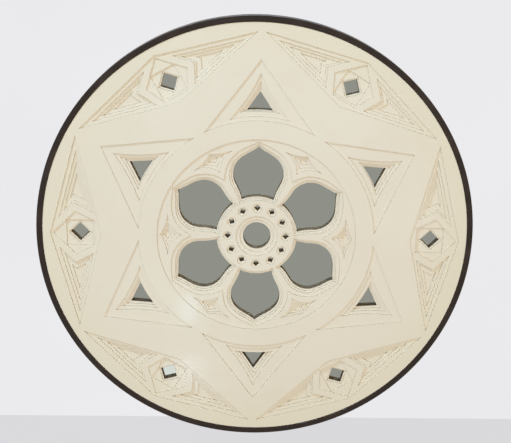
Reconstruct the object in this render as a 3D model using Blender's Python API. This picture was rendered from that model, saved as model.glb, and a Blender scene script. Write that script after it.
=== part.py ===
"""Round layered wall sculpture: five cut boards over a mirror in a thin metal hoop.

Units are metres, +Z is up. The disc stands upright and faces -Y. The middle of the back
panel's rear face, which lies against the wall, is the origin.
"""

import math

import bmesh
import bpy

# Hoop and the pieces stacked inside it
OUTER_RADIUS = 0.457
HOOP_WIDTH = 0.012
HOOP_DEPTH = 0.0320
HOOP_EDGE = 0.0012
LEDGE_WIDTH = 0.014
FIT_GAP = 0.0003
EDGE_GAP = 0.0006
BACK_THICKNESS = 0.0030
MIRROR_THICKNESS = 0.0030
MIRROR_DISTANCE = 0.0070
BOARD_THICKNESS = 0.0030

# Rosette: the round opening of the front board, the petals, the spokes and the hub
ROSETTE_RADIUS = 0.2088
ARCH_TIP_STEP = 0.0046
PETAL_TIP_STEPS = (0.0092, 0.0129, 0.0172)
PETAL_SHOULDER_DEPTH = 0.0754
ARCH_DEPTH = 0.0694
SPOKE_FOOT_HALF_WIDTH = 0.0020
SPOKE_FOOT_STEP = 0.0041
SPOKE_HEAD_HALF_WIDTH = 0.0146
SPOKE_HEAD_STEP = 0.0034
HUB_RADIUS = 0.0781
HUB_STEP = 0.0034
HUB_HOLE_STEPS = (0.0, 0.0080, 0.0149)
PEG_MARGIN = 0.0073
PEG_HOLE_RADIUS = 0.0098
PEG_SQUARE_HALF_DIAGONAL = 0.0069

# Where the curve handles of the petals and arches lie, as shares of the stretch they bend
PETAL_TIP_PULL = (0.25, 0.25)
PETAL_SHOULDER_PULLS = (0.64, 0.40)
PETAL_CORNER_PULL = (0.38, 0.55)
ARCH_TIP_PULL = (0.20, 0.12)
ARCH_CUSP_PULL = (1.035, 0.77)

# Small curved stars between the petals, near the edge of the rosette
SPARK_EDGE_MARGIN = 0.0064
SPARK_FOOT_MARGIN = 0.0183
# Their shape, for each board, as shares of the first one's height
SPARK_SIDE_DROP = 0.36
SPARK_HALF_WIDTHS = (1.00, 0.55, 0.24)
SPARK_TOP_STEPS = (0.0, 0.05, 0.15)
SPARK_FOOT_STEPS = (0.0, 0.27, 0.47)
SPARK_TOP_BOWS = (0.060, 0.027, 0.0)
SPARK_FOOT_BOWS = (0.175, 0.045, 0.0)

# Six star points, each a triangle over an arc that follows the rosette
STAR_RING_WIDTH = 0.0380
STAR_APEX_MARGIN = 0.0739
STAR_CORNER_GAP = 0.0241
STAR_ARC_STEPS = (0.0080, 0.0183, 0.0200, 0.0214)
STAR_BOWS = (0.0045, 0.0020, 0.0010, 0.0)
# The inner steps of a star point as shares of its outer step
STAR_HEIGHTS = (0.758, 0.582, 0.472, 0.365)
STAR_HALF_WIDTHS = (0.542, 0.364, 0.295, 0.231)

# Six lozenges between the star points and the hoop
LOZENGE_EDGE_MARGIN = 0.0163
LOZENGE_WIDTH = 0.1051
LOZENGE_TIP_MARGIN = 0.0191
LOZENGE_TIP_GAP = 0.0165
HOUSE_APEX_STEP = 0.0046
HOUSE_FOOT_STEP = 0.0133
HOUSE_HALF_WIDTH = 0.0471
HOUSE_FOOT_HALF_WIDTH = 0.0265
HOUSE_EAVES_HEIGHT = 0.0398
SQUARE_HALF_SIDE = 0.0274
SQUARE_FOOT_STEP = 0.0041
DIAMOND_HALF_DIAGONALS = (0.0244, 0.0198)
WEDGE_UPPER_STEPS = (0.0087, 0.0148, 0.0212)
WEDGE_LOWER_STEPS = (0.0066, 0.0122, 0.0180)
WEDGE_ROOF_STEPS = (0.0135, 0.0167, 0.0253)
WEDGE_WALL_STEPS = (0.0142, 0.0178, 0.0280)

# How finely the round edges are cut
ROUND_SIDES = 60
ROSETTE_SIDES = 60
HUB_SIDES = 24
PEG_SIDES = 8
CURVE_SIDES = 4
STAR_ARC_SIDES = 6
HUB_ARC_SIDES = 4

SECTORS = 6
SECTOR_ANGLE = math.tau / SECTORS
PEGS = 12

# Places that follow from the sizes above
FACE_RADIUS = OUTER_RADIUS - HOOP_WIDTH
BOARD_RADIUS = FACE_RADIUS - EDGE_GAP
MIRROR_REAR = -BACK_THICKNESS - FIT_GAP
LEDGE_REAR = MIRROR_REAR - MIRROR_THICKNESS - FIT_GAP
LEDGE_FRONT = LEDGE_REAR - MIRROR_DISTANCE
BOARD_PITCH = BOARD_THICKNESS + FIT_GAP
CUSP_RADIUS = ROSETTE_RADIUS - ARCH_DEPTH
PEG_CIRCLE_RADIUS = HUB_RADIUS - PEG_MARGIN - PEG_HOLE_RADIUS
HUB_HOLE_RADIUS = PEG_CIRCLE_RADIUS - PEG_HOLE_RADIUS - PEG_MARGIN
STAR_ARC_RADIUS = ROSETTE_RADIUS + STAR_RING_WIDTH
STAR_APEX = FACE_RADIUS - STAR_APEX_MARGIN
LOZENGE_PEAK = FACE_RADIUS - LOZENGE_EDGE_MARGIN
LOZENGE_FOOT = LOZENGE_PEAK - LOZENGE_WIDTH
HOUSE_FOOT = LOZENGE_FOOT + HOUSE_FOOT_STEP
DIAMOND_CENTRE = HOUSE_FOOT + SQUARE_FOOT_STEP + SQUARE_HALF_SIDE


def make_material(name, colour, roughness, metallic):
    material = bpy.data.materials.new(name)
    material.use_nodes = True
    shader = material.node_tree.nodes["Principled BSDF"]
    shader.inputs["Base Color"].default_value = (*colour, 1.0)
    shader.inputs["Roughness"].default_value = roughness
    shader.inputs["Metallic"].default_value = metallic
    return material


# Flat outlines. A point is (across, out): out runs from the disc's centre, across at right angles.

def curve(start, pull_start, pull_end, end, sides=CURVE_SIDES):
    """Points of a cubic curve, without its last point."""
    points = []
    for step in range(sides):
        t = step / sides
        a, b, c, d = (1 - t) ** 3, 3 * t * (1 - t) ** 2, 3 * t * t * (1 - t), t ** 3
        points.append(tuple(
            a * start[axis] + b * pull_start[axis] + c * pull_end[axis] + d * end[axis]
            for axis in (0, 1)))
    return points


def bowed(start, end, bow, sides=CURVE_SIDES):
    """Points from start to end, without the end, bowed to the right of the way by bow."""
    across, out = end[0] - start[0], end[1] - start[1]
    length = math.hypot(across, out)
    points = []
    for step in range(sides if bow else 1):
        t = step / sides
        push = 4 * t * (1 - t) * bow
        points.append((start[0] + across * t + out / length * push,
                       start[1] + out * t - across / length * push))
    return points


def circle(radius, sides, centre=(0.0, 0.0), start=0.0):
    return [(centre[0] + radius * math.cos(start + math.tau * side / sides),
             centre[1] + radius * math.sin(start + math.tau * side / sides))
            for side in range(sides)]


def mirrored(points):
    return [(-across, out) for across, out in points]


def arc_to_middle(radius, angle, sides):
    """Points of an arc from an angle on the right to the middle line, half its sides long."""
    angles = [angle * (1 - 2 * step / sides) for step in range(sides // 2 + 1)]
    return [(radius * math.sin(turn), radius * math.cos(turn)) for turn in angles]


def both_sides(right_half):
    """Close a loop from its right half, given from the top to the foot, ends on the middle line."""
    return right_half + mirrored(right_half[-2:0:-1])


def turned(points, angle):
    """Turn a loop so that its out direction points along an angle, seen from the front."""
    return [(out * math.cos(angle) - across * math.sin(angle),
             out * math.sin(angle) + across * math.cos(angle))
            for across, out in points]


def around(points, count=SECTORS, start=0.0):
    return [turned(points, start + math.tau * index / count) for index in range(count)]


def parallel(start, end, distance):
    """A line beside the one from start to end, distance to its right, as (point, direction)."""
    across, out = end[0] - start[0], end[1] - start[1]
    length = math.hypot(across, out)
    across, out = across / length, out / length
    return (start[0] + out * distance, start[1] - across * distance), (across, out)


def crossing(first, second):
    """The point where two lines meet."""
    (ax, ay), (adx, ady) = first
    (bx, by), (bdx, bdy) = second
    t = ((bx - ax) * bdy - (by - ay) * bdx) / (adx * bdy - ady * bdx)
    return ax + adx * t, ay + ady * t


# Rosette

def petal(level):
    """Opening of one petal; level 0 is in the third board, level 2 is the window in the last."""
    hub = HUB_RADIUS + level * HUB_STEP
    spoke_foot = SPOKE_FOOT_HALF_WIDTH + level * SPOKE_FOOT_STEP
    spoke_head = SPOKE_HEAD_HALF_WIDTH + level * SPOKE_HEAD_STEP
    tip = (0.0, ROSETTE_RADIUS - PETAL_TIP_STEPS[level])
    shoulder_height = ROSETTE_RADIUS - PETAL_SHOULDER_DEPTH
    shoulder = (shoulder_height * math.tan(SECTOR_ANGLE / 2) - spoke_head / math.cos(SECTOR_ANGLE / 2),
                shoulder_height)
    corner_angle = SECTOR_ANGLE / 2 - math.asin(spoke_foot / hub)
    corner = (hub * math.sin(corner_angle), hub * math.cos(corner_angle))
    rise = tip[1] - shoulder[1]
    drop = shoulder[1] - corner[1]
    up, down = PETAL_SHOULDER_PULLS
    right = curve(tip, (PETAL_TIP_PULL[0] * shoulder[0], tip[1] - PETAL_TIP_PULL[1] * rise),
                  (shoulder[0], shoulder[1] + up * rise), shoulder)
    right += curve(shoulder, (shoulder[0], shoulder[1] - down * drop),
                   (corner[0] + PETAL_CORNER_PULL[0] * (shoulder[0] - corner[0]),
                    corner[1] + PETAL_CORNER_PULL[1] * drop), corner)
    return both_sides(right + arc_to_middle(hub, corner_angle, HUB_ARC_SIDES))


def foil():
    """Opening of the second board: six pointed arches that meet in cusps over the spokes."""
    tip = (0.0, ROSETTE_RADIUS - ARCH_TIP_STEP)
    cusp = (CUSP_RADIUS * math.sin(SECTOR_ANGLE / 2), CUSP_RADIUS * math.cos(SECTOR_ANGLE / 2))
    rise = tip[1] - cusp[1]
    right = curve(tip, (ARCH_TIP_PULL[0] * cusp[0], tip[1] - ARCH_TIP_PULL[1] * rise),
                  (ARCH_CUSP_PULL[0] * cusp[0], cusp[1] + ARCH_CUSP_PULL[1] * rise),
                  cusp, 2 * CURVE_SIDES)
    arch = mirrored([cusp] + right[:0:-1]) + [tip] + right[1:]
    loop = []
    for arch_turned in around(arch, start=SECTOR_ANGLE / 2):
        loop += arch_turned
    return loop


def spark(level):
    """Curved four-pointed star between two petals; level 0 is the widest, in the second board."""
    peak = ROSETTE_RADIUS - SPARK_EDGE_MARGIN
    height = peak - CUSP_RADIUS - SPARK_FOOT_MARGIN
    top = (0.0, peak - height * SPARK_TOP_STEPS[level])
    side = (height * SPARK_HALF_WIDTHS[level], peak - height * SPARK_SIDE_DROP)
    foot = (0.0, peak - height * (1 - SPARK_FOOT_STEPS[level]))
    right = bowed(top, side, height * SPARK_TOP_BOWS[level])
    right += bowed(side, foot, height * SPARK_FOOT_BOWS[level])
    return both_sides(right + [foot])


def peg_squares():
    return around(circle(PEG_SQUARE_HALF_DIAGONAL, 4, (0.0, PEG_CIRCLE_RADIUS)), PEGS)


def peg_rounds():
    return around(circle(PEG_HOLE_RADIUS, PEG_SIDES, (0.0, PEG_CIRCLE_RADIUS)), PEGS)


def hub_hole(level):
    return circle(HUB_HOLE_RADIUS - HUB_HOLE_STEPS[level], HUB_SIDES)


# Star points

def star_point(radius, apex, corner_angle, bow):
    """Triangle over an arc of the given radius, its long sides bowed inwards by bow."""
    corner = (radius * math.sin(corner_angle), radius * math.cos(corner_angle))
    right = bowed((0.0, apex), corner, bow)
    return both_sides(right + arc_to_middle(radius, corner_angle, STAR_ARC_SIDES))


def star_corner_angle():
    return SECTOR_ANGLE / 2 - math.asin(STAR_CORNER_GAP / 2 / STAR_ARC_RADIUS)


def first_star_point():
    return star_point(STAR_ARC_RADIUS, STAR_APEX, star_corner_angle(), 0.0)


def inner_star_point(level):
    """Level 0 is the step in the second board, level 3 the window in the last one."""
    radius = STAR_ARC_RADIUS + STAR_ARC_STEPS[level]
    apex = radius + (STAR_APEX - radius) * STAR_HEIGHTS[level]
    half_width = STAR_ARC_RADIUS * math.sin(star_corner_angle()) * STAR_HALF_WIDTHS[level]
    return star_point(radius, apex, math.asin(half_width / radius), STAR_BOWS[level])


# Lozenges

def lozenge_tip():
    radius = FACE_RADIUS - LOZENGE_TIP_MARGIN
    angle = SECTOR_ANGLE / 2 - math.asin(LOZENGE_TIP_GAP / 2 / radius)
    return radius * math.sin(angle), radius * math.cos(angle)


def lozenge():
    return both_sides([(0.0, LOZENGE_PEAK), lozenge_tip(), (0.0, LOZENGE_FOOT)])


def house_corners():
    """Apex, eaves and foot of the five-sided opening, down its right side."""
    return ((0.0, LOZENGE_PEAK - HOUSE_APEX_STEP),
            (HOUSE_HALF_WIDTH, HOUSE_FOOT + HOUSE_EAVES_HEIGHT),
            (HOUSE_FOOT_HALF_WIDTH, HOUSE_FOOT))


def house():
    apex, eaves, foot = house_corners()
    return [apex, eaves, foot] + mirrored([foot, eaves])


def square():
    side = SQUARE_HALF_SIDE
    return [(across * side, DIAMOND_CENTRE + out * side)
            for across, out in ((1, 1), (1, -1), (-1, -1), (-1, 1))]


def diamond(level):
    return circle(DIAMOND_HALF_DIAGONALS[level], 4, (0.0, DIAMOND_CENTRE))


def wedge(level):
    """Notched triangle beside the house: long edges along the lozenge, notch along the house."""
    apex, eaves, foot = house_corners()
    tip = lozenge_tip()
    upper = parallel((0.0, LOZENGE_PEAK), tip, WEDGE_UPPER_STEPS[level])
    lower = parallel(tip, (0.0, LOZENGE_FOOT), WEDGE_LOWER_STEPS[level])
    roof = parallel(apex, eaves, -WEDGE_ROOF_STEPS[level])
    wall = parallel(eaves, foot, -WEDGE_WALL_STEPS[level])
    return [crossing(roof, upper), crossing(upper, lower), crossing(lower, wall), crossing(wall, roof)]


def wedges(level):
    return around(wedge(level)) + around(mirrored(wedge(level)))


# Solids

def finish(name, bm, material, smooth=False):
    bmesh.ops.recalc_face_normals(bm, faces=bm.faces)
    mesh = bpy.data.meshes.new(name)
    bm.to_mesh(mesh)
    bm.free()
    mesh.materials.append(material)
    if smooth:
        mesh.shade_smooth()
        mesh.set_sharp_from_angle(angle=math.radians(30))
    obj = bpy.data.objects.new(name, mesh)
    bpy.context.scene.collection.objects.link(obj)
    return obj


def plate(name, openings, rear, thickness, material):
    """A flat round board with openings through it, its rear face at the given depth."""
    bm = bmesh.new()
    edges = []
    for loop in [circle(BOARD_RADIUS, ROUND_SIDES)] + openings:
        verts = [bm.verts.new((x, rear, z)) for x, z in loop]
        edges += [bm.edges.new((verts[index - 1], verts[index])) for index in range(len(verts))]
    bmesh.ops.triangle_fill(bm, use_beauty=True, use_dissolve=False, edges=edges)
    front = bmesh.ops.extrude_face_region(bm, geom=bm.faces[:])["geom"]
    moved = [item for item in front if isinstance(item, bmesh.types.BMVert)]
    bmesh.ops.translate(bm, vec=(0.0, -thickness, 0.0), verts=moved)
    return finish(name, bm, material)


def hoop(material):
    """Thin hoop with softened front corners and a ledge inside that parts boards and mirror."""
    ledge = FACE_RADIUS - LEDGE_WIDTH
    profile = [
        (OUTER_RADIUS, 0.0),
        (OUTER_RADIUS, -HOOP_DEPTH + HOOP_EDGE),
        (OUTER_RADIUS - HOOP_EDGE, -HOOP_DEPTH),
        (FACE_RADIUS, -HOOP_DEPTH),
        (FACE_RADIUS, LEDGE_FRONT),
        (ledge, LEDGE_FRONT),
        (ledge, LEDGE_REAR),
        (FACE_RADIUS, LEDGE_REAR),
        (FACE_RADIUS, 0.0),
    ]
    bm = bmesh.new()
    verts = [bm.verts.new((radius, depth, 0.0)) for radius, depth in profile]
    edges = [bm.edges.new((verts[index - 1], verts[index])) for index in range(len(verts))]
    bmesh.ops.spin(bm, geom=verts + edges, axis=(0, 1, 0), cent=(0, 0, 0), angle=math.tau,
                   steps=ROUND_SIDES, use_merge=True)
    return finish("hoop_frame", bm, material, smooth=True)


def build():
    for obj in list(bpy.data.objects):
        bpy.data.objects.remove(obj, do_unlink=True)

    cream = make_material("cream_lacquer", (0.72, 0.68, 0.54), 0.40, 0.0)
    bronze = make_material("dark_bronze_metal", (0.042, 0.028, 0.022), 0.42, 0.85)
    silver = make_material("mirror_glass", (0.80, 0.82, 0.80), 0.03, 1.0)
    brown = make_material("brown_hardboard", (0.16, 0.09, 0.05), 0.80, 0.0)

    openings = {
        "front_board": (
            around(lozenge()) + around(first_star_point(), start=SECTOR_ANGLE / 2)
            + [circle(ROSETTE_RADIUS, ROSETTE_SIDES)]),
        "second_board": (
            around(house()) + wedges(0) + around(inner_star_point(0), start=SECTOR_ANGLE / 2)
            + around(spark(0)) + [foil()]),
        "third_board": (
            around(square()) + wedges(1) + around(inner_star_point(1), start=SECTOR_ANGLE / 2)
            + around(spark(1)) + around(petal(0), start=SECTOR_ANGLE / 2) + peg_rounds() + [hub_hole(0)]),
        "fourth_board": (
            around(diamond(0)) + wedges(2) + around(inner_star_point(2), start=SECTOR_ANGLE / 2)
            + around(spark(2)) + around(petal(1), start=SECTOR_ANGLE / 2) + peg_squares() + [hub_hole(1)]),
        "fifth_board": (
            around(diamond(1)) + around(inner_star_point(3), start=SECTOR_ANGLE / 2)
            + around(petal(2), start=SECTOR_ANGLE / 2) + peg_squares() + [hub_hole(2)]),
    }

    hoop(bronze)
    plate("back_panel", [], 0.0, BACK_THICKNESS, brown)
    plate("mirror_sheet", [], MIRROR_REAR, MIRROR_THICKNESS, silver)
    rear = LEDGE_FRONT - FIT_GAP
    for name in reversed(openings):
        plate(name, openings[name], rear, BOARD_THICKNESS, cream)
        rear -= BOARD_PITCH


build()
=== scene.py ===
import math

import bmesh
import bpy
from mathutils import Matrix, Vector


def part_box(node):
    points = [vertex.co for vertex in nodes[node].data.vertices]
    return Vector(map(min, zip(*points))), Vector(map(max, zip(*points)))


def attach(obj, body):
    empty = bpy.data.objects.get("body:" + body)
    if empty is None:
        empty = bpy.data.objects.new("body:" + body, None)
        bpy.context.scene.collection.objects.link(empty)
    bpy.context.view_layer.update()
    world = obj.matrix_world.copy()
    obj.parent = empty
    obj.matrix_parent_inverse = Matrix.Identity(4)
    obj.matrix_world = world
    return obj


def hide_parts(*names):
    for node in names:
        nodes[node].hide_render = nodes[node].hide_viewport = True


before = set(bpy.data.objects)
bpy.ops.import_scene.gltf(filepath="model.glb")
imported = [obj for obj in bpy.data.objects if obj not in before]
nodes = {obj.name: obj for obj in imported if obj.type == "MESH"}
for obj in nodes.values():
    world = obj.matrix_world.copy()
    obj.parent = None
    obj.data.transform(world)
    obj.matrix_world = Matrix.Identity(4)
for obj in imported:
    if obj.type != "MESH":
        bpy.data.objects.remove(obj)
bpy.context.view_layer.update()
print("frame loaded:", len(nodes), "nodes")


# Small helpers for materials

def newMaterial(name):
    material = bpy.data.materials.new(name)
    material.use_nodes = True
    tree = material.node_tree
    return material, tree, tree.nodes["Principled BSDF"]


def addNode(tree, kind, **settings):
    node = tree.nodes.new(kind)
    for key, value in settings.items():
        setattr(node, key, value)
    return node


def setInputs(node, **values):
    for key, value in values.items():
        node.inputs[key].default_value = value
    return node


def noiseAt(tree, coords, scale, detail=3.0, roughness=0.5):
    noise = addNode(tree, "ShaderNodeTexNoise")
    setInputs(noise, Scale=scale, Detail=detail, Roughness=roughness)
    tree.links.new(coords, noise.inputs["Vector"])
    return noise.outputs["Fac"]


def remap(tree, value, low, high, outLow=0.0, outHigh=1.0):
    node = addNode(tree, "ShaderNodeMapRange", interpolation_type="SMOOTHSTEP")
    tree.links.new(value, node.inputs["Value"])
    node.inputs["From Min"].default_value = low
    node.inputs["From Max"].default_value = high
    node.inputs["To Min"].default_value = outLow
    node.inputs["To Max"].default_value = outHigh
    return node.outputs["Result"]


def mixColour(tree, factor, first, second):
    node = addNode(tree, "ShaderNodeMix", data_type="RGBA")
    for source, socket in ((factor, node.inputs[0]), (first, node.inputs[6]), (second, node.inputs[7])):
        if hasattr(source, "links"):
            tree.links.new(source, socket)
        else:
            socket.default_value = (*source, 1.0)
    return node.outputs[2]


def sumOf(tree, first, second, operation="ADD"):
    node = addNode(tree, "ShaderNodeMath", operation=operation)
    for source, socket in ((first, node.inputs[0]), (second, node.inputs[1])):
        if hasattr(source, "links"):
            tree.links.new(source, socket)
        else:
            socket.default_value = source
    return node.outputs[0]


def distanceFromAxis(tree, coords):
    place = addNode(tree, "ShaderNodeSeparateXYZ")
    tree.links.new(coords, place.inputs[0])
    flat = addNode(tree, "ShaderNodeCombineXYZ")
    tree.links.new(place.outputs["X"], flat.inputs["X"])
    tree.links.new(place.outputs["Z"], flat.inputs["Z"])
    radius = addNode(tree, "ShaderNodeVectorMath", operation="LENGTH")
    tree.links.new(flat.outputs[0], radius.inputs[0])
    return radius.outputs["Value"]


def addBump(tree, shader, height, strength, distance):
    bump = addNode(tree, "ShaderNodeBump")
    setInputs(bump, Strength=strength, Distance=distance)
    tree.links.new(height, bump.inputs["Height"])
    tree.links.new(bump.outputs["Normal"], shader.inputs["Normal"])


# Flat outlines. A point is (across, out): out runs from the disc's centre, across at right angles.

smoothness = {"curve": 14, "arch": 28, "bow": 8, "arc": 16, "circle": 180, "hub": 96, "peg": 28, "hoop": 288}
sectorAngle = math.tau / 6


def curvePoints(start, pullStart, pullEnd, end, sides):
    points = []
    for step in range(sides):
        t = step / sides
        a, b, c, d = (1 - t) ** 3, 3 * t * (1 - t) ** 2, 3 * t * t * (1 - t), t ** 3
        points.append(tuple(a * start[i] + b * pullStart[i] + c * pullEnd[i] + d * end[i] for i in (0, 1)))
    return points


def bowedLine(start, end, bow):
    across, out = end[0] - start[0], end[1] - start[1]
    length = math.hypot(across, out)
    points = []
    for step in range(smoothness["bow"] if bow else 1):
        t = step / smoothness["bow"]
        push = 4 * t * (1 - t) * bow
        points.append((start[0] + across * t + out / length * push,
                       start[1] + out * t - across / length * push))
    return points


def circlePoints(radius, sides, centre=(0.0, 0.0)):
    return [(centre[0] + radius * math.cos(math.tau * i / sides),
             centre[1] + radius * math.sin(math.tau * i / sides)) for i in range(sides)]


def arcToMiddle(radius, angle, sides):
    angles = [angle * (1 - step / sides) for step in range(sides + 1)]
    return [(radius * math.sin(turn), radius * math.cos(turn)) for turn in angles]


def flipped(points):
    return [(-across, out) for across, out in points]


def bothSides(rightHalf):
    return rightHalf + flipped(rightHalf[-2:0:-1])


def turnedTo(points, angle):
    return [(out * math.cos(angle) - across * math.sin(angle),
             out * math.sin(angle) + across * math.cos(angle)) for across, out in points]


def roundTheDisc(points, count=6, start=0.0):
    return [turnedTo(points, start + math.tau * i / count) for i in range(count)]


def between(points):
    return roundTheDisc(points, start=sectorAngle / 2)


def lineBeside(start, end, distance):
    across, out = end[0] - start[0], end[1] - start[1]
    length = math.hypot(across, out)
    across, out = across / length, out / length
    return (start[0] + out * distance, start[1] - across * distance), (across, out)


def whereTheyMeet(first, second):
    (ax, ay), (adx, ady) = first
    (bx, by), (bdx, bdy) = second
    t = ((bx - ax) * bdy - (by - ay) * bdx) / (adx * bdy - ady * bdx)
    return ax + adx * t, ay + ady * t


# Rosette: petals, arches, small stars, peg holes and hub

rosette = {
    "radius": 0.2088,
    "archTipStep": 0.0046,
    "tipSteps": (0.0092, 0.0129, 0.0172),
    "shoulderDepth": 0.0754,
    "archDepth": 0.0694,
    "spokeFoot": 0.0020,  # half widths of the third board's spokes, and what each board adds
    "spokeFootStep": 0.0041,
    "spokeHead": 0.0146,
    "spokeHeadStep": 0.0034,
    "hubRadius": 0.0781,
    "hubStep": 0.0034,
    "hubHoleSteps": (0.0, 0.0080, 0.0149),
    "pegMargin": 0.0073,
    "pegRadius": 0.0098,
    "pegSquare": 0.0069,
    "tipPull": (0.25, 0.25),  # where the curve handles lie, as shares of the stretch they bend
    "shoulderPulls": (0.64, 0.40),
    "cornerPull": (0.38, 0.55),
    "archTipPull": (0.20, 0.12),
    "archCuspPull": (1.035, 0.77),
}


def petalOpening(level):
    r = rosette
    hub = r["hubRadius"] + level * r["hubStep"]
    foot = r["spokeFoot"] + level * r["spokeFootStep"]
    head = r["spokeHead"] + level * r["spokeHeadStep"]
    tip = (0.0, r["radius"] - r["tipSteps"][level])
    height = r["radius"] - r["shoulderDepth"]
    shoulder = (height * math.tan(sectorAngle / 2) - head / math.cos(sectorAngle / 2), height)
    cornerAngle = sectorAngle / 2 - math.asin(foot / hub)
    corner = (hub * math.sin(cornerAngle), hub * math.cos(cornerAngle))
    rise, drop = tip[1] - height, height - corner[1]
    up, down = r["shoulderPulls"]
    sides = smoothness["curve"]
    right = curvePoints(tip, (r["tipPull"][0] * shoulder[0], tip[1] - r["tipPull"][1] * rise),
                        (shoulder[0], height + up * rise), shoulder, sides)
    right += curvePoints(shoulder, (shoulder[0], height - down * drop),
                         (corner[0] + r["cornerPull"][0] * (shoulder[0] - corner[0]),
                          corner[1] + r["cornerPull"][1] * drop), corner, sides)
    return bothSides(right + arcToMiddle(hub, cornerAngle, smoothness["arc"]))


def archOpening():
    r = rosette
    cuspRadius = r["radius"] - r["archDepth"]
    tip = (0.0, r["radius"] - r["archTipStep"])
    cusp = (cuspRadius * math.sin(sectorAngle / 2), cuspRadius * math.cos(sectorAngle / 2))
    rise = tip[1] - cusp[1]
    right = curvePoints(tip, (r["archTipPull"][0] * cusp[0], tip[1] - r["archTipPull"][1] * rise),
                        (r["archCuspPull"][0] * cusp[0], cusp[1] + r["archCuspPull"][1] * rise),
                        cusp, smoothness["arch"])
    arch = flipped([cusp] + right[:0:-1]) + [tip] + right[1:]
    loop = []
    for turnedArch in between(arch):
        loop += turnedArch
    return loop


smallStar = {
    "edgeMargin": 0.0064,
    "footMargin": 0.0183,
    "sideDrop": 0.36,  # from here on shares of its height, for the second, third and fourth board
    "halfWidths": (1.00, 0.55, 0.24),
    "topSteps": (0.0, 0.05, 0.15),
    "footSteps": (0.0, 0.27, 0.47),
    "topBows": (0.060, 0.027, 0.0),
    "footBows": (0.175, 0.045, 0.0),
}


def smallStarOpening(level):
    s = smallStar
    peak = rosette["radius"] - s["edgeMargin"]
    height = peak - (rosette["radius"] - rosette["archDepth"]) - s["footMargin"]
    top = (0.0, peak - height * s["topSteps"][level])
    side = (height * s["halfWidths"][level], peak - height * s["sideDrop"])
    foot = (0.0, peak - height * (1 - s["footSteps"][level]))
    right = bowedLine(top, side, height * s["topBows"][level])
    right += bowedLine(side, foot, height * s["footBows"][level])
    return bothSides(right + [foot])


pegCircle = rosette["hubRadius"] - rosette["pegMargin"] - rosette["pegRadius"]
hubHole = pegCircle - rosette["pegRadius"] - rosette["pegMargin"]


def pegHoles(radius, sides):
    return roundTheDisc(circlePoints(radius, sides, (0.0, pegCircle)), 12)


def hubOpening(level):
    return [circlePoints(hubHole - rosette["hubHoleSteps"][level], smoothness["hub"])]


# Star points

starPoint = {
    "faceRadius": 0.445,
    "ringWidth": 0.0380,
    "apexMargin": 0.0739,
    "cornerGap": 0.0241,
    "arcSteps": (0.0080, 0.0183, 0.0200, 0.0214),
    "bows": (0.0045, 0.0020, 0.0010, 0.0),
    "heights": (0.758, 0.582, 0.472, 0.365),  # shares of the outer step
    "halfWidths": (0.542, 0.364, 0.295, 0.231),
}
starArc = rosette["radius"] + starPoint["ringWidth"]
starApex = starPoint["faceRadius"] - starPoint["apexMargin"]
starCorner = sectorAngle / 2 - math.asin(starPoint["cornerGap"] / 2 / starArc)


def starOutline(radius, apex, cornerAngle, bow):
    corner = (radius * math.sin(cornerAngle), radius * math.cos(cornerAngle))
    right = bowedLine((0.0, apex), corner, bow)
    return bothSides(right + arcToMiddle(radius, cornerAngle, smoothness["arc"]))


def starOpening(level):
    s = starPoint
    radius = starArc + s["arcSteps"][level]
    apex = radius + (starApex - radius) * s["heights"][level]
    halfWidth = starArc * math.sin(starCorner) * s["halfWidths"][level]
    return starOutline(radius, apex, math.asin(halfWidth / radius), s["bows"][level])


# Lozenges

lozenge = {
    "edgeMargin": 0.0163,
    "width": 0.1051,
    "tipMargin": 0.0191,
    "tipGap": 0.0165,
    "houseApexStep": 0.0046,
    "houseFootStep": 0.0133,
    "houseHalfWidth": 0.0471,
    "houseFootHalfWidth": 0.0265,
    "eavesHeight": 0.0398,
    "squareHalfSide": 0.0274,
    "squareFootStep": 0.0041,
    "diamonds": (0.0244, 0.0198),
    "wedgeUpper": (0.0087, 0.0148, 0.0212),
    "wedgeLower": (0.0066, 0.0122, 0.0180),
    "wedgeRoof": (0.0135, 0.0167, 0.0253),
    "wedgeWall": (0.0142, 0.0178, 0.0280),
}
lozengePeak = (0.0, starPoint["faceRadius"] - lozenge["edgeMargin"])
lozengeFoot = (0.0, lozengePeak[1] - lozenge["width"])
tipRadius = starPoint["faceRadius"] - lozenge["tipMargin"]
tipAngle = sectorAngle / 2 - math.asin(lozenge["tipGap"] / 2 / tipRadius)
lozengeTip = (tipRadius * math.sin(tipAngle), tipRadius * math.cos(tipAngle))
houseFoot = lozengeFoot[1] + lozenge["houseFootStep"]
house = ((0.0, lozengePeak[1] - lozenge["houseApexStep"]),
         (lozenge["houseHalfWidth"], houseFoot + lozenge["eavesHeight"]),
         (lozenge["houseFootHalfWidth"], houseFoot))
diamondCentre = houseFoot + lozenge["squareFootStep"] + lozenge["squareHalfSide"]


def wedgeOpenings(level):
    apex, eaves, foot = house
    upper = lineBeside(lozengePeak, lozengeTip, lozenge["wedgeUpper"][level])
    lower = lineBeside(lozengeTip, lozengeFoot, lozenge["wedgeLower"][level])
    roof = lineBeside(apex, eaves, -lozenge["wedgeRoof"][level])
    wall = lineBeside(eaves, foot, -lozenge["wedgeWall"][level])
    wedge = [whereTheyMeet(roof, upper), whereTheyMeet(upper, lower),
             whereTheyMeet(lower, wall), whereTheyMeet(wall, roof)]
    return roundTheDisc(wedge) + roundTheDisc(flipped(wedge))


def squareOutline():
    side = lozenge["squareHalfSide"]
    return [(across * side, diamondCentre + out * side)
            for across, out in ((1, 1), (1, -1), (-1, -1), (-1, 1))]


def diamondOutline(level):
    return circlePoints(lozenge["diamonds"][level], 4, (0.0, diamondCentre))


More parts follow.
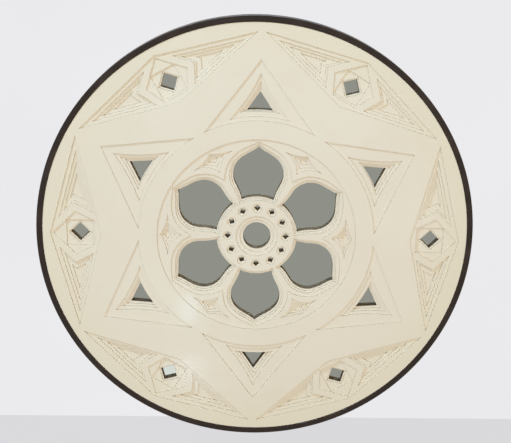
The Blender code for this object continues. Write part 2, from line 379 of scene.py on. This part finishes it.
boardOpenings = {
    "front_board": (
        roundTheDisc([lozengePeak, lozengeTip, lozengeFoot, *flipped([lozengeTip])])
        + between(starOutline(starArc, starApex, starCorner, 0.0))
        + [circlePoints(rosette["radius"], smoothness["circle"])]),
    "second_board": (
        roundTheDisc([*house, *flipped(house[:0:-1])]) + wedgeOpenings(0)
        + between(starOpening(0)) + roundTheDisc(smallStarOpening(0)) + [archOpening()]),
    "third_board": (
        roundTheDisc(squareOutline()) + wedgeOpenings(1) + between(starOpening(1))
        + roundTheDisc(smallStarOpening(1)) + between(petalOpening(0))
        + pegHoles(rosette["pegRadius"], smoothness["peg"]) + hubOpening(0)),
    "fourth_board": (
        roundTheDisc(diamondOutline(0)) + wedgeOpenings(2) + between(starOpening(2))
        + roundTheDisc(smallStarOpening(2)) + between(petalOpening(1))
        + pegHoles(rosette["pegSquare"], 4) + hubOpening(1)),
    "fifth_board": (
        roundTheDisc(diamondOutline(1)) + between(starOpening(3)) + between(petalOpening(2))
        + pegHoles(rosette["pegSquare"], 4) + hubOpening(2)),
}


# Softened front edges and the finished piece, for the boards and for the hoop

frontTolerance = 1e-6
softenedFrom = math.radians(60)  # only real corners are softened


def softenFront(bm, frontY, size, sides):
    edges = [edge for edge in bm.edges
             if edge.is_manifold and all(vert.co.y < frontY + frontTolerance for vert in edge.verts)
             and edge.calc_face_angle() > softenedFrom]
    bmesh.ops.bevel(bm, geom=edges, offset=size, offset_type="OFFSET", segments=sides, profile=0.5,
                    affect="EDGES", material=-1, loop_slide=False, clamp_overlap=False)


def finishPiece(name, bm, material, sharpFrom):
    mesh = bpy.data.meshes.new(name)
    bm.to_mesh(mesh)
    bm.free()
    mesh.materials.append(material)
    mesh.shade_smooth()
    mesh.set_sharp_from_angle(angle=sharpFrom)
    piece = bpy.data.objects.new(name, mesh)
    bpy.context.scene.collection.objects.link(piece)
    return piece


# Boards

board = {
    "radius": 0.4446,
    "softEdge": 0.00035,  # the lacquer rounds the front edges of every cut
    "softEdgeSides": 2,
    "sharpFrom": math.radians(15),  # keeps the big flat faces flat beside the softened edges
    "seam": 0.00028,  # closes the gap to the board behind
}


def cutBoard(nodeName, openings, material):
    low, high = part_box(nodeName)
    rear = high.y if nodeName == "fifth_board" else high.y + board["seam"]
    bm = bmesh.new()
    edges = []
    for loop in [circlePoints(board["radius"], smoothness["circle"])] + openings:
        corners = [bm.verts.new((x, rear, z)) for x, z in loop]
        edges += [bm.edges.new((corners[i - 1], corners[i])) for i in range(len(corners))]
    bmesh.ops.triangle_fill(bm, use_beauty=True, use_dissolve=False, edges=edges)
    moved = bmesh.ops.extrude_face_region(bm, geom=bm.faces[:])["geom"]
    bmesh.ops.translate(bm, vec=(0, low.y - rear, 0),
                        verts=[item for item in moved if isinstance(item, bmesh.types.BMVert)])
    bmesh.ops.recalc_face_normals(bm, faces=bm.faces)
    softenFront(bm, low.y, board["softEdge"], board["softEdgeSides"])
    piece = finishPiece(nodeName + "_cut", bm, material, board["sharpFrom"])
    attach(piece, "root")
    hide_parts(nodeName)


# Lacquered hardboard: cream front faces, thinly coated tan cut edges and a pale tan rear

lacquer = {
    "cream": (0.735, 0.673, 0.550),
    "creamWarm": (0.720, 0.645, 0.515),
    "creamPale": (0.750, 0.694, 0.572),
    "creamHoopShade": (0.725, 0.662, 0.508),  # painted shade: the cream turns darker and yellower towards the hoop, where the hoop's shade falls
    "hoopShadeFrom": 0.34,
    "hoopShadeShare": 0.70,
    "edge": (0.76, 0.660, 0.495),
    "edgeDark": (0.66, 0.555, 0.395),
    "edgeLitFromAbove": (0.80, 0.705, 0.540),  # painted light: edges that face up are painted lighter, as the light from above falls on them
    "deepEdgeBareAndShade": (0.42, 0.300, 0.200),  # the deepest board's edges are bare hardboard, painted darker still as shade from the gap to the mirror behind them
    "deepFrom": -0.0172,
    "deepBlend": 0.0002,
    "rear": (0.95, 0.750, 0.540),  # seen in the mirror
    "rearDark": (0.86, 0.650, 0.450),
    "gloss": 0.10,
    "glossSpread": (-0.02, 0.03),
    "edgeMatt": 0.45,
    "broadScale": 2.6,
    "cloudScale": 17.0,
    "smearScale": 9.0,
    "strandScale": 420.0,
    "strandStretch": 3.5,
    "peelScale": 330.0,
    "swayScale": 24.0,
    "swayShare": 2.0,
    "bump": (0.06, 0.0006),
}


def lacqueredBoard():
    material, tree, shader = newMaterial("cream lacquered hardboard")
    where = addNode(tree, "ShaderNodeTexCoord")
    coords = where.outputs["Object"]
    normal = addNode(tree, "ShaderNodeSeparateXYZ")
    tree.links.new(where.outputs["Normal"], normal.inputs[0])
    facing = sumOf(tree, normal.outputs["Y"], -1.0, "MULTIPLY")
    front = remap(tree, facing, 0.45, 0.75)
    rear = remap(tree, normal.outputs["Y"], 0.6, 0.8)

    broad = noiseAt(tree, coords, lacquer["broadScale"], 2.0)
    cloud = noiseAt(tree, coords, lacquer["cloudScale"], 4.0, 0.6)
    face = mixColour(tree, remap(tree, broad, 0.40, 0.62), lacquer["cream"], lacquer["creamPale"])
    face = mixColour(tree, remap(tree, cloud, 0.48, 0.75, 0.0, 0.5), face, lacquer["creamWarm"])
    # painted shade: the face colour darkens and yellows towards the hoop
    hoopShade = remap(tree, distanceFromAxis(tree, coords), lacquer["hoopShadeFrom"], board["radius"],
                 0.0, lacquer["hoopShadeShare"])
    face = mixColour(tree, hoopShade, face, lacquer["creamHoopShade"])

    fibres = addNode(tree, "ShaderNodeMapping")
    setInputs(fibres, Scale=(1.0, lacquer["strandStretch"], 1.0))
    tree.links.new(coords, fibres.inputs["Vector"])
    strands = noiseAt(tree, fibres.outputs["Vector"], lacquer["strandScale"], 4.0, 0.65)
    edge = mixColour(tree, remap(tree, strands, 0.35, 0.65), lacquer["edgeDark"], lacquer["edge"])
    # painted light: cut edges that face up are lighter, as if lit from above
    edge = mixColour(tree, remap(tree, normal.outputs["Z"], 0.2, 0.6), edge, lacquer["edgeLitFromAbove"])
    place = addNode(tree, "ShaderNodeSeparateXYZ")
    tree.links.new(coords, place.inputs[0])
    # the deepest board's edges: bare hardboard, partly painted shade from the gap behind them
    deepBareAndShade = remap(tree, place.outputs["Y"], lacquer["deepFrom"] - lacquer["deepBlend"],
                 lacquer["deepFrom"] + lacquer["deepBlend"])
    edge = mixColour(tree, deepBareAndShade, edge, lacquer["deepEdgeBareAndShade"])
    rearFace = mixColour(tree, remap(tree, strands, 0.30, 0.70), lacquer["rearDark"], lacquer["rear"])

    colour = mixColour(tree, front, edge, face)
    colour = mixColour(tree, rear, colour, rearFace)
    tree.links.new(colour, shader.inputs["Base Color"])

    smears = noiseAt(tree, coords, lacquer["smearScale"], 3.0)
    least, most = (lacquer["gloss"] + spread for spread in lacquer["glossSpread"])
    rough = remap(tree, smears, 0.3, 0.7, least, most)
    matt = remap(tree, facing, 0.93, 0.99, lacquer["edgeMatt"], 0.0)  # only the flat faces are glossy
    rough = sumOf(tree, rough, matt)
    tree.links.new(rough, shader.inputs["Roughness"])

    peel = noiseAt(tree, coords, lacquer["peelScale"], 2.0)
    sway = noiseAt(tree, coords, lacquer["swayScale"], 1.0)
    height = sumOf(tree, peel, sumOf(tree, sway, lacquer["swayShare"], "MULTIPLY"))
    addBump(tree, shader, height, *lacquer["bump"])
    return material


creamBoard = lacqueredBoard()
for nodeName, openings in boardOpenings.items():
    cutBoard(nodeName, openings, creamBoard)
print("boards cut:", len(boardOpenings))


# Hoop

hoop = {
    "outerRadius": 0.457,
    "width": 0.012,
    "depth": 0.032,
    "ledge": 0.014,
    "ledgeFront": -0.0136,
    "ledgeRear": -0.0066,
    "softEdge": 0.0011,
    "softEdgeSides": 3,
    "sharpFrom": math.radians(12),
}


def turnedHoop(material):
    inner = hoop["outerRadius"] - hoop["width"]
    profile = [
        (hoop["outerRadius"], 0.0), (hoop["outerRadius"], -hoop["depth"]),
        (inner, -hoop["depth"]), (inner, hoop["ledgeFront"]),
        (inner - hoop["ledge"], hoop["ledgeFront"]), (inner - hoop["ledge"], hoop["ledgeRear"]),
        (inner, hoop["ledgeRear"]), (inner, 0.0),
    ]
    bm = bmesh.new()
    corners = [bm.verts.new((radius, y, 0.0)) for radius, y in profile]
    edges = [bm.edges.new((corners[i - 1], corners[i])) for i in range(len(corners))]
    bmesh.ops.spin(bm, geom=corners + edges, axis=(0, 1, 0), cent=(0, 0, 0), angle=math.tau,
                   steps=smoothness["hoop"], use_merge=True)
    bmesh.ops.recalc_face_normals(bm, faces=bm.faces)
    softenFront(bm, -hoop["depth"], hoop["softEdge"], hoop["softEdgeSides"])
    piece = finishPiece("hoop_turned", bm, material, hoop["sharpFrom"])
    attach(piece, "root")
    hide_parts("hoop_frame")


bronze = {
    "base": (0.056, 0.040, 0.034),
    "worn": (0.105, 0.075, 0.060),
    "gloss": 0.40,
    "glossSpread": (-0.06, 0.08),
    "metallic": 0.7,
    "lineScale": 1600.0,
    "lineLength": 14.0,
    "patchScale": 22.0,
    "bump": (0.15, 0.0002),
}


def darkBronze():
    material, tree, shader = newMaterial("dark bronze hoop")
    where = addNode(tree, "ShaderNodeTexCoord")
    coords = where.outputs["Object"]
    # drawn lines that run round the hoop
    drawn = addNode(tree, "ShaderNodeTexNoise", noise_dimensions="4D")
    setInputs(drawn, Scale=1.0, Detail=3.0)
    stretch = addNode(tree, "ShaderNodeMapping")
    setInputs(stretch, Scale=(bronze["lineLength"], bronze["lineScale"], bronze["lineLength"]))
    tree.links.new(coords, stretch.inputs["Vector"])
    tree.links.new(stretch.outputs["Vector"], drawn.inputs["Vector"])
    outwards = sumOf(tree, distanceFromAxis(tree, coords), bronze["lineScale"], "MULTIPLY")
    tree.links.new(outwards, drawn.inputs["W"])
    lines = drawn.outputs["Fac"]
    patches = noiseAt(tree, coords, bronze["patchScale"], 4.0)
    colour = mixColour(tree, remap(tree, patches, 0.45, 0.75, 0.0, 0.5), bronze["base"], bronze["worn"])
    colour = mixColour(tree, remap(tree, lines, 0.5, 0.8, 0.0, 0.25), colour, bronze["worn"])
    tree.links.new(colour, shader.inputs["Base Color"])
    shader.inputs["Metallic"].default_value = bronze["metallic"]
    least, most = (bronze["gloss"] + spread for spread in bronze["glossSpread"])
    rough = remap(tree, patches, 0.3, 0.7, least, most)
    tree.links.new(rough, shader.inputs["Roughness"])
    addBump(tree, shader, lines, *bronze["bump"])
    return material


turnedHoop(darkBronze())
print("hoop turned")


# Mirror and back panel

mirror = {
    "silver": (0.80, 0.82, 0.79),
    "gloss": 0.012,
    "filmGloss": 0.027,
    "filmScale": 14.0,
}
hardboard = {
    "light": (0.215, 0.130, 0.075),
    "dark": (0.120, 0.068, 0.038),
    "stain": (0.095, 0.055, 0.032),
    "fibreScale": 240.0,
    "stainScale": 5.0,
    "roughness": (0.62, 0.82),
    "bump": (0.35, 0.0005),
}


def silveredGlass():
    material, tree, shader = newMaterial("silvered glass")
    where = addNode(tree, "ShaderNodeTexCoord")
    coords = where.outputs["Object"]
    film = noiseAt(tree, coords, mirror["filmScale"], 5.0, 0.6)
    shader.inputs["Base Color"].default_value = (*mirror["silver"], 1.0)
    shader.inputs["Metallic"].default_value = 1.0
    rough = remap(tree, film, 0.45, 0.8, mirror["gloss"], mirror["filmGloss"])
    tree.links.new(rough, shader.inputs["Roughness"])
    return material


def brownHardboard():
    material, tree, shader = newMaterial("brown hardboard back")
    where = addNode(tree, "ShaderNodeTexCoord")
    coords = where.outputs["Object"]
    fibre = noiseAt(tree, coords, hardboard["fibreScale"], 6.0, 0.7)
    stain = noiseAt(tree, coords, hardboard["stainScale"], 4.0)
    colour = mixColour(tree, remap(tree, fibre, 0.3, 0.7), hardboard["dark"], hardboard["light"])
    colour = mixColour(tree, remap(tree, stain, 0.5, 0.75, 0.0, 0.45), colour, hardboard["stain"])
    tree.links.new(colour, shader.inputs["Base Color"])
    tree.links.new(remap(tree, stain, 0.3, 0.7, *hardboard["roughness"]), shader.inputs["Roughness"])
    addBump(tree, shader, fibre, *hardboard["bump"])
    return material


nodes["mirror_sheet"].material_slots[0].material = silveredGlass()
nodes["back_panel"].material_slots[0].material = brownHardboard()
print("mirror and back finished")


# Studio: a pale wall far behind, a floor that meets it low down, and soft lamps

studio = {
    "wallDistance": 6.0,
    "wallSkew": 0.15,  # how much nearer and farther its left and right ends are
    "wallHeight": 6.0,
    "floorHeight": -3.51,
    "width": 24.0,
    "wall": (0.835, 0.830, 0.850),
    "floor": (0.708, 0.702, 0.726),
    "room": (0.344, 0.345, 0.316),
    "cloudScale": 0.35,
    "cloudGlow": (0.985, 1.01),
}


def glowingPaper(name, colour):
    material, tree, shader = newMaterial(name)
    where = addNode(tree, "ShaderNodeTexCoord")
    cloud = noiseAt(tree, where.outputs["Object"], studio["cloudScale"], 2.0)
    shade = remap(tree, cloud, 0.3, 0.7, *studio["cloudGlow"])
    shader.inputs["Base Color"].default_value = (0.0, 0.0, 0.0, 1.0)
    shader.inputs["Specular IOR Level"].default_value = 0.0
    shader.inputs["Emission Color"].default_value = (*colour, 1.0)
    tree.links.new(shade, shader.inputs["Emission Strength"])
    return material


def paperSheet(name, corners, colour, glossy):
    bm = bmesh.new()
    bm.faces.new([bm.verts.new(corner) for corner in corners])
    mesh = bpy.data.meshes.new(name)
    bm.to_mesh(mesh)
    bm.free()
    mesh.materials.append(glowingPaper(name, colour))
    sheet = bpy.data.objects.new(name, mesh)
    bpy.context.scene.collection.objects.link(sheet)
    sheet.visible_glossy = glossy
    sheet.visible_diffuse = False


def paperStage():
    half, low, high = studio["width"] / 2, studio["floorHeight"], studio["wallHeight"]
    near, far = studio["wallDistance"] - studio["wallSkew"], studio["wallDistance"] + studio["wallSkew"]
    leftFoot, rightFoot = (-half, near, low), (half, far, low)
    paperSheet("stage_wall", [leftFoot, rightFoot, (half, far, high), (-half, near, high)],
               studio["wall"], glossy=True)
    paperSheet("stage_floor", [(-half, -half, low), (half, -half, low), rightFoot, leftFoot],
               studio["floor"], glossy=False)


# blue window light from the upper left, warm light from the right, broad light in front,
# and three small far windows that show in the mirror and in the lacquer
lamps = [
    {"name": "coolLeft", "place": (-1.35, -1.55, 2.35),
     "size": 0.45, "power": 47.0, "colour": (0.42, 0.68, 1.0)},
    {"name": "warmRight", "place": (1.7, -2.2, 2.1),
     "size": 0.6, "power": 14.0, "colour": (1.0, 0.86, 0.64)},
    {"name": "softFront", "place": (-0.1, -4.6, -0.4),
     "size": 3.6, "power": 124.0, "colour": (1.0, 0.915, 0.85), "unseen": True},
    {"name": "paneMirror", "place": (-0.338, -2.006, -1.225),
     "size": 0.09, "power": 0.0105, "colour": (0.93, 1.0, 0.985)},
    {"name": "paneLow", "place": (-0.247, -2.03, -1.225),
     "size": 0.10, "power": 0.125, "colour": (0.55, 0.72, 1.0)},
    {"name": "paneHigh", "place": (-0.258, -2.03, -0.947),
     "size": 0.10, "power": 0.125, "colour": (0.42, 0.80, 1.0)},
]


def hangLamp(lamp):
    light = bpy.data.lights.new(lamp["name"], "AREA")
    light.shape = "DISK"
    light.size = lamp["size"]
    light.energy = lamp["power"]
    light.color = lamp["colour"]
    holder = bpy.data.objects.new(lamp["name"], light)
    holder.location = lamp["place"]
    holder.rotation_mode = "QUATERNION"
    holder.rotation_quaternion = Vector(lamp["place"]).to_track_quat("Z", "Y")
    holder.visible_glossy = not lamp.get("unseen", False)
    bpy.context.scene.collection.objects.link(holder)


paperStage()
for lamp in lamps:
    hangLamp(lamp)
world = bpy.data.worlds.new("grey room")
world.use_nodes = True
world.node_tree.nodes["Background"].inputs["Color"].default_value = (*studio["room"], 1.0)
bpy.context.scene.world = world
bpy.context.scene.view_settings.view_transform = "Standard"
print("studio lit")


# Camera

view = {
    "place": (-0.0279, -2.127, 0.656),
    "azimuth": -3.36,  # degrees
    "elevation": 17.82,
    "roll": 2.34,
    "focus": 1045.0,  # focal length and optical centre, in pixels of a picture 511 wide
    "pictureWidth": 511,
    "centreRight": 46.1,
    "centreDown": 25.45,
    "sensorWidth": 36.0,
}


def setCamera():
    azimuth, elevation, roll = (math.radians(view[key]) for key in ("azimuth", "elevation", "roll"))
    back = Vector((math.sin(azimuth) * math.cos(elevation), -math.cos(azimuth) * math.cos(elevation),
                   math.sin(elevation)))
    right = Vector((0, 0, 1)).cross(back).normalized()
    up = back.cross(right)
    right, up = (right * math.cos(roll) + up * math.sin(roll), up * math.cos(roll) - right * math.sin(roll))
    camera = bpy.data.cameras.new("camera")
    camera.sensor_width = view["sensorWidth"]
    camera.lens = view["focus"] * view["sensorWidth"] / view["pictureWidth"]
    camera.shift_x = -view["centreRight"] / view["pictureWidth"]
    camera.shift_y = view["centreDown"] / view["pictureWidth"]
    holder = bpy.data.objects.new("camera", camera)
    turned = Matrix((right, up, back)).transposed().to_4x4()
    holder.matrix_world = Matrix.Translation(view["place"]) @ turned
    bpy.context.scene.collection.objects.link(holder)
    bpy.context.scene.camera = holder


setCamera()
print("camera set")
